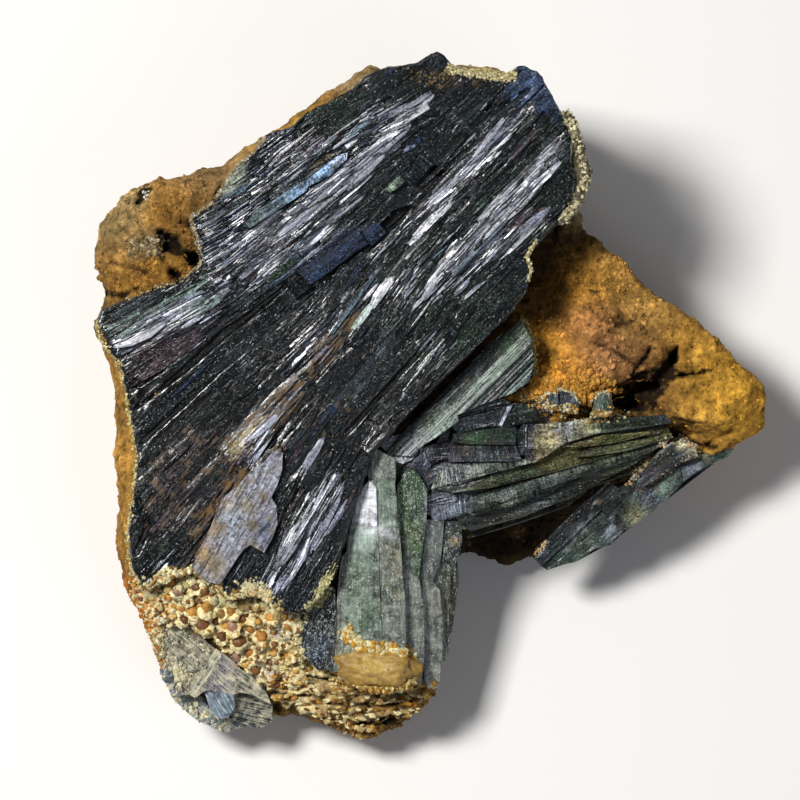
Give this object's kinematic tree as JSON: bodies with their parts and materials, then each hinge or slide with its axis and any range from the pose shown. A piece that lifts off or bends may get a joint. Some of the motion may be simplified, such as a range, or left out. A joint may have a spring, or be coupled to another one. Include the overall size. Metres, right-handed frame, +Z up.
{
  "type": "bladed crystal specimen on limonite",
  "caption": "Hand-sized raw mineral specimen: dark blue-black bladed crystals with greenish blades and a pale beaded crust on a lump of rusty limonite that rests on its flat underside.",
  "frame": {"origin": "on the flat underside, below the middle of the crystal face", "axes": "+Z up out of the underside, -Y to the front, where the crystal face slopes down, +X to the right, towards the bare limonite arm"},
  "size_m": [0.1187, 0.1174, 0.0539],
  "materials": {
    "limonite": "earthy, dull",
    "dark_blade": "glassy, striated",
    "green_blade": "glassy, striated",
    "pale_crystal": "glassy, translucent",
    "grey_blade": "dull glassy, frosted",
    "cream_crust": "earthy, beaded"
  },
  "bodies": {
    "root": {"limonite_matrix": "limonite", "blade_plate": "dark_blade", "side_blades": "green_blade", "pale_crystals": "pale_crystal", "blade_spray": "green_blade", "grey_slab": "grey_blade", "bead_crust": "cream_crust", "frosted_crystals": "grey_blade", "vug_crystals": "grey_blade"}
  },
  "joints": []
}
